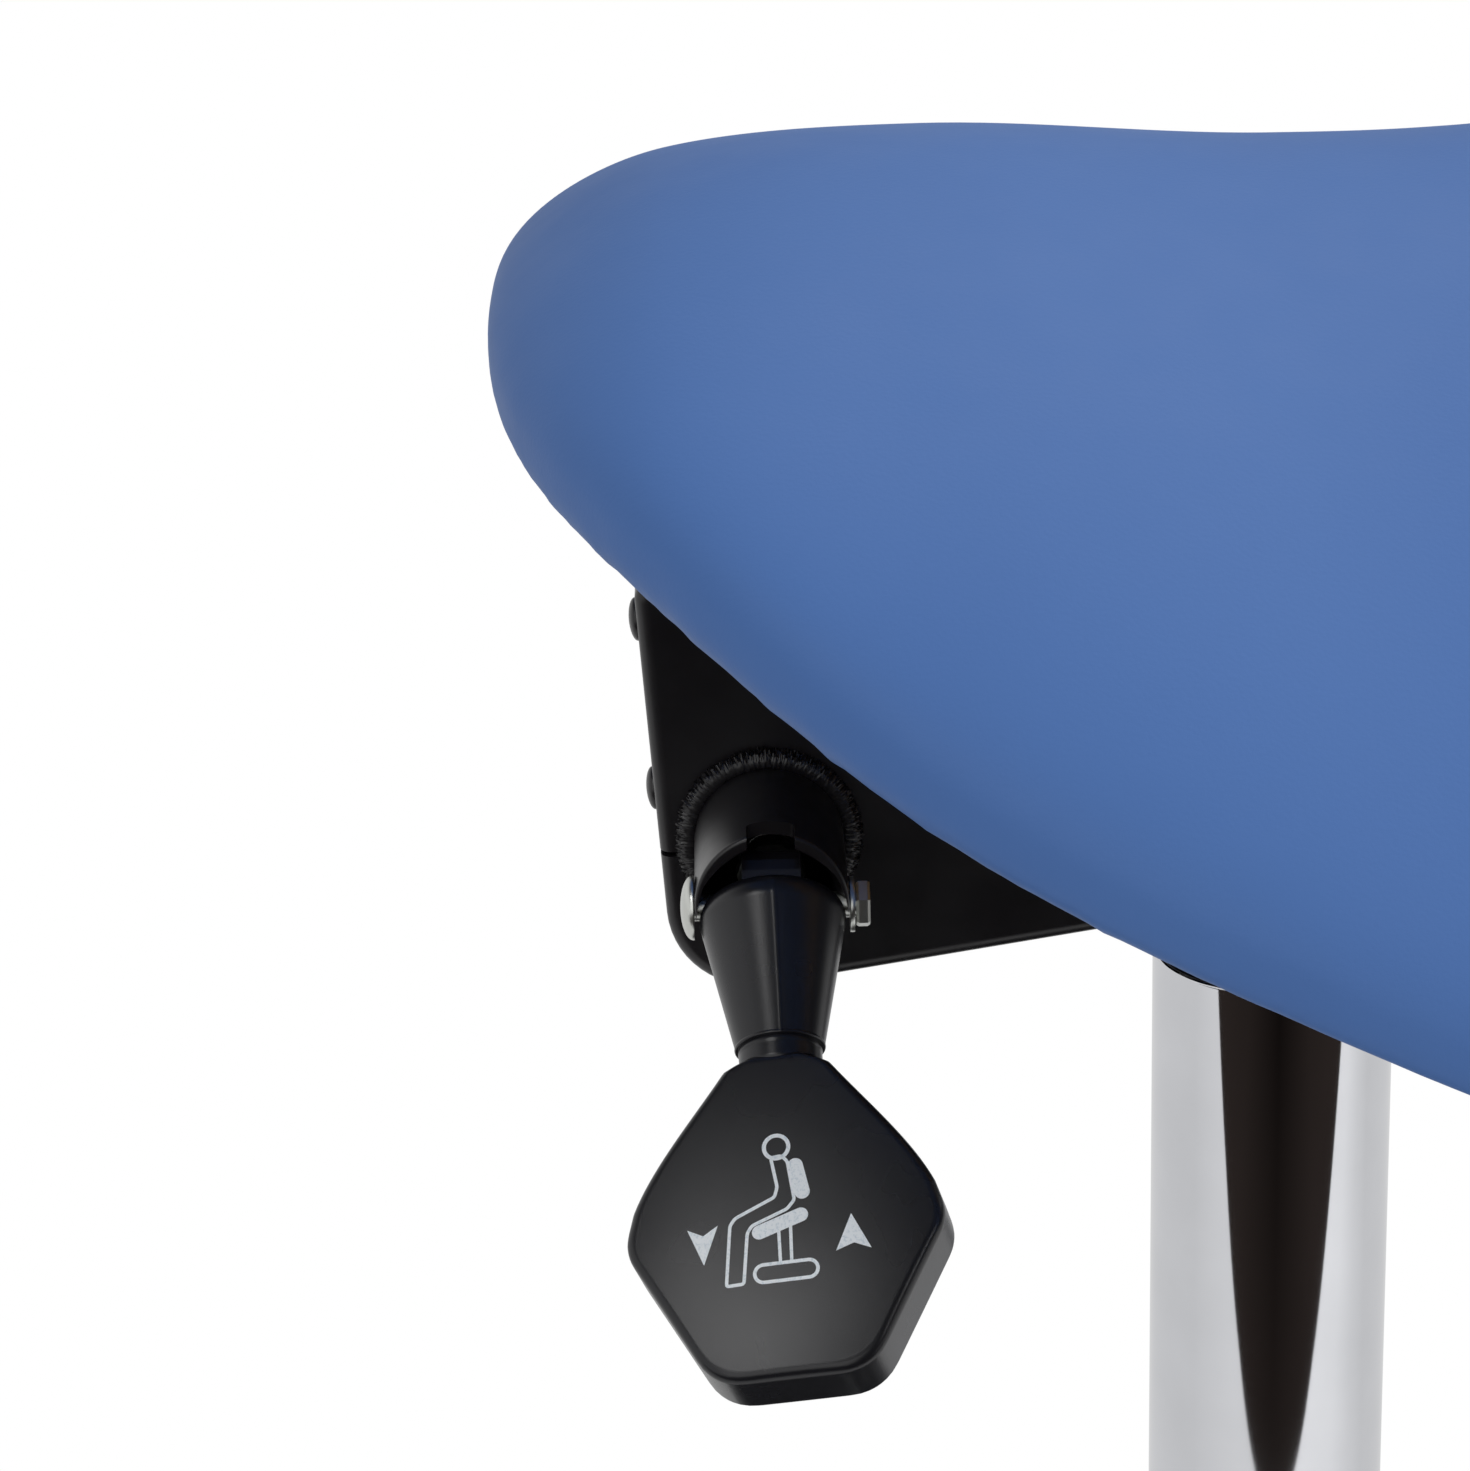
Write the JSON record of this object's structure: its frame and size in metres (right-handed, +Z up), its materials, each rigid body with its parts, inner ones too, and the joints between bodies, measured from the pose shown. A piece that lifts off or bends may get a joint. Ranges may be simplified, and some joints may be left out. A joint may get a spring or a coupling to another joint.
{
  "type": "saddle wobble stool",
  "caption": "Height-adjustable saddle stool on a gas lift, with a seat-tilt lock, lift lever and a rubber wobble joint in a round weighted base.",
  "frame": {"origin": "on the floor, on the column's axis, at the centre of the round base", "axes": "+Z up along the column; -Y to the front of the seat; +X to the side of the tilt lever"},
  "size_m": [0.42, 0.42, 0.6008],
  "materials": {
    "vinyl": "smooth stretched vinyl, semi-matt",
    "plywood": "moulded plywood, clear lacquer",
    "block_plastic": "black moulded nylon",
    "chrome": "polished chrome plate",
    "cylinder_steel": "black enamel on the gas cylinder",
    "bush_plastic": "black acetal",
    "frame_paint": "satin black powder coat",
    "lever_steel": "black coated steel",
    "lever_plastic": "fine-grained black nylon",
    "bright_zinc": "bright zinc plate",
    "rivet_paint": "satin black over steel",
    "cover_plastic": "fine-grained black polypropylene",
    "floor_rubber": "matt black rubber",
    "plate_steel": "raw cut steel plate",
    "joint_rubber": "moulded natural rubber",
    "nylon": "natural nylon",
    "brake_fibre": "pressed fibre",
    "dark_steel": "oiled dark steel",
    "zinc_steel": "zinc plate"
  },
  "bodies": {
    "base": {"floor_ring": "floor_rubber", "weight_plate": "plate_steel", "base_cover": "cover_plastic", "lower_spring_plate": "zinc_steel", "base_bolt_1": "zinc_steel", "base_bolt_2": "zinc_steel", "base_bolt_3": "zinc_steel", "lower_rubber": "joint_rubber"},
    "interleaf": {"interleaf_plate": "zinc_steel", "upper_rubber": "joint_rubber"},
    "stand": {"foot_socket": "frame_paint", "stand_tube": "chrome", "guide_bush": "bush_plastic", "bearing_race_lower": "dark_steel", "bearing_balls": "zinc_steel"},
    "rod": {"piston_rod": "zinc_steel", "bearing_race_upper": "dark_steel", "stop_buffer": "joint_rubber", "retaining_clip": "zinc_steel"},
    "carrier": {"gas_cylinder": "cylinder_steel", "taper_socket": "dark_steel", "column_carrier": "frame_paint", "pivot_stud_near": "dark_steel", "pivot_stud_far": "dark_steel", "fulcrum_pin": "zinc_steel"},
    "valve": {"valve_button": "zinc_steel"},
    "height_lever": {"height_lever_rod": "lever_steel", "height_lever_sleeve": "lever_plastic", "height_lever_paddle": "lever_plastic"},
    "seat": {"tilt_frame": "frame_paint", "front_plate": "frame_paint", "rivet_1": "rivet_paint", "rivet_2": "rivet_paint", "rivet_3": "rivet_paint", "rivet_4": "rivet_paint", "pivot_bush_near": "nylon", "pivot_bush_far": "nylon", "lever_tube": "frame_paint", "clamp_spacer": "dark_steel", "clamp_jaw": "dark_steel", "friction_disc_near": "brake_fibre", "friction_disc_far": "brake_fibre", "clamp_spring": "zinc_steel", "lever_bolt": "bright_zinc", "lever_washer": "bright_zinc", "lever_nut": "bright_zinc", "seat_block": "block_plastic", "seat_shell": "plywood", "seat_cushion": "vinyl", "seat_bolt_1": "zinc_steel", "seat_bolt_2": "zinc_steel", "seat_bolt_3": "zinc_steel", "seat_bolt_4": "zinc_steel"},
    "clamp": {"clamp_bolt": "zinc_steel", "clamp_nut": "zinc_steel"},
    "tilt_lever": {"tilt_lever_cam": "lever_steel", "tilt_lever_sleeve": "lever_plastic", "tilt_lever_paddle": "lever_plastic"}
  },
  "joints": [
    {"name": "wobble_pitch", "type": "hinge", "parent": "base", "child": "interleaf", "pos_m": [0, 0, 0.0323], "axis": [1, 0, 0], "range_deg": [-5, 5], "stiffness_Nm_per_rad": 900, "deforming": ["lower_rubber"]},
    {"name": "wobble_roll", "type": "hinge", "parent": "interleaf", "child": "stand", "pos_m": [0, 0, 0.0533], "axis": [0, 1, 0], "range_deg": [-5, 5], "stiffness_Nm_per_rad": 900, "deforming": ["upper_rubber"]},
    {"name": "column_swivel", "type": "hinge", "parent": "stand", "child": "rod", "pos_m": [0, 0, 0.108], "axis": [0, 0, 1], "continuous": true},
    {"name": "gas_lift", "type": "slide", "parent": "rod", "child": "carrier", "axis": [0, 0, 1], "range_m": [0, 0.15]},
    {"name": "seat_tilt", "type": "hinge", "parent": "carrier", "child": "seat", "pos_m": [0, 0, 0.476], "axis": [1, 0, 0], "range_deg": [-6, 6]},
    {"name": "tilt_lever_lift", "type": "hinge", "parent": "seat", "child": "tilt_lever", "pos_m": [0.08, -0.1048, 0.4582], "axis": [0, -1, 0], "range_deg": [0, 22], "stiffness_Nm_per_rad": 2, "springref_deg": -11.46},
    {"name": "clamp_push", "type": "slide", "parent": "seat", "child": "clamp", "axis": [-1, 0, 0], "range_m": [0, 0.0011], "deforming": ["clamp_spring"]},
    {"name": "height_lever_lift", "type": "hinge", "parent": "carrier", "child": "height_lever", "pos_m": [-0.015, 0, 0.476], "axis": [0, 1, 0], "range_deg": [0, 5], "stiffness_Nm_per_rad": 2, "springref_deg": -11.46},
    {"name": "valve_press", "type": "slide", "parent": "carrier", "child": "valve", "axis": [0, 0, -1], "range_m": [0, 0.0018]}
  ],
  "couplings": [
    {"joint": "clamp_push", "follows": "tilt_lever_lift", "m_per_rad": 0.00273},
    {"joint": "valve_press", "follows": "height_lever_lift", "m_per_rad": 0.019}
  ]
}
